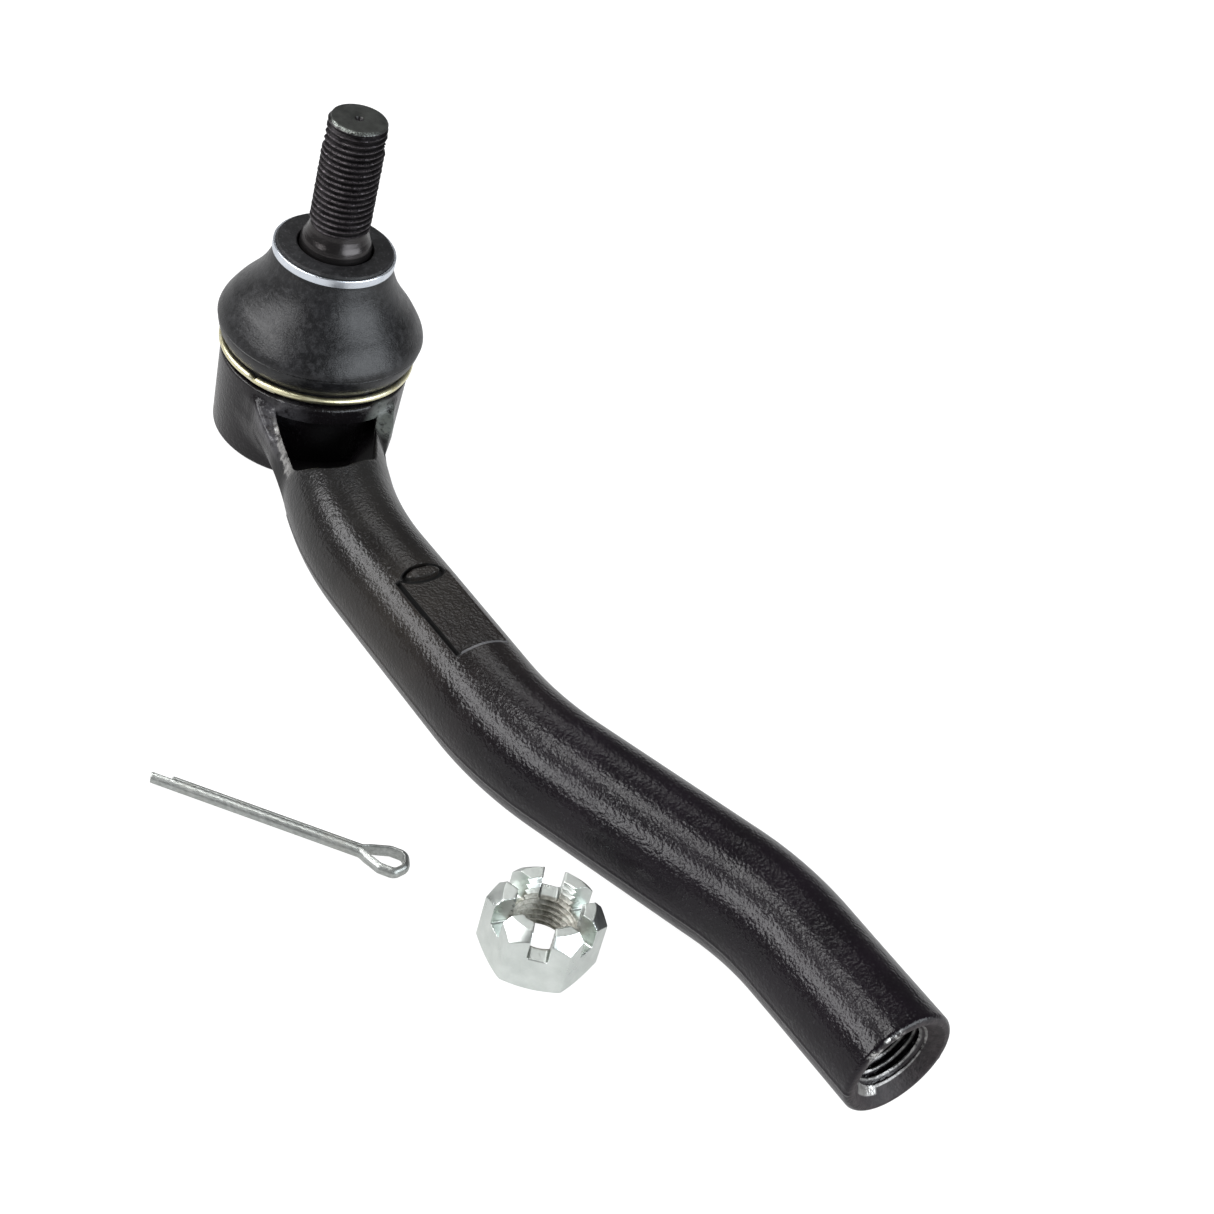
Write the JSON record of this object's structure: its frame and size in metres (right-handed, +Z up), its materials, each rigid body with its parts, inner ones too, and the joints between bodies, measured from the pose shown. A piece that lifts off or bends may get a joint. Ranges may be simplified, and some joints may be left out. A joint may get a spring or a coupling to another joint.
{
  "type": "tie rod end",
  "caption": "Forged tie rod end: booted ball stud in a cup housing, a bowed arm ending in a threaded bore, with its castle nut and cotter pin loose beside it.",
  "frame": {"origin": "the middle of the housing's base, on the surface the part lies on, on the ball stud's axis", "axes": "+Z up along the ball stud, +X from the stud towards the arm's threaded end and parallel to its bore, the arm bowed towards -Y"},
  "size_m": [0.2139, 0.0972, 0.072],
  "materials": {
    "forging_paint": "satin black paint over a forged surface",
    "plug_steel": "satin black paint",
    "spring_steel": "oiled spring steel",
    "seat_resin": "smooth natural acetal",
    "stud_phosphate": "oiled black phosphate",
    "boot_rubber": "satin moulded rubber",
    "ring_zinc": "yellow zinc plate",
    "band_steel": "bright plated strip",
    "nut_zinc": "bright clear zinc plate",
    "pin_zinc": "dull clear zinc plate"
  },
  "bodies": {
    "housing": {"forged_body": "forging_paint", "closing_plug": "plug_steel", "preload_spring": "spring_steel", "lower_seat": "seat_resin", "upper_seat": "seat_resin"},
    "boot_foot": {"dust_boot": "boot_rubber", "boot_clip_ring": "ring_zinc"},
    "boot_crown": {"boot_top_band": "band_steel"},
    "stud": {"ball_stud": "stud_phosphate"},
    "loose_nut": {"castle_nut": "nut_zinc"},
    "loose_pin": {"cotter_pin": "pin_zinc"}
  },
  "joints": [
    {"name": "swing_direction", "type": "hinge", "parent": "housing", "child": "boot_foot", "pos_m": [0, 0, 0.0125], "axis": [0, 0, 1], "continuous": true},
    {"name": "stud_swing", "type": "hinge", "parent": "boot_foot", "child": "boot_crown", "pos_m": [0, 0, 0.0125], "axis": [0, 1, 0], "range_deg": [-22, 22], "deforming": ["dust_boot"]},
    {"name": "stud_spin", "type": "hinge", "parent": "boot_crown", "child": "stud", "pos_m": [0, 0, 0.0125], "axis": [0, 0, 1], "continuous": true},
    {"name": "nut_lift", "type": "slide", "parent": "housing", "child": "loose_nut", "axis": [0, 0, 1], "range_m": [0, 0.06]},
    {"name": "pin_lift", "type": "slide", "parent": "housing", "child": "loose_pin", "axis": [0, 0, 1], "range_m": [0, 0.06]}
  ]
}
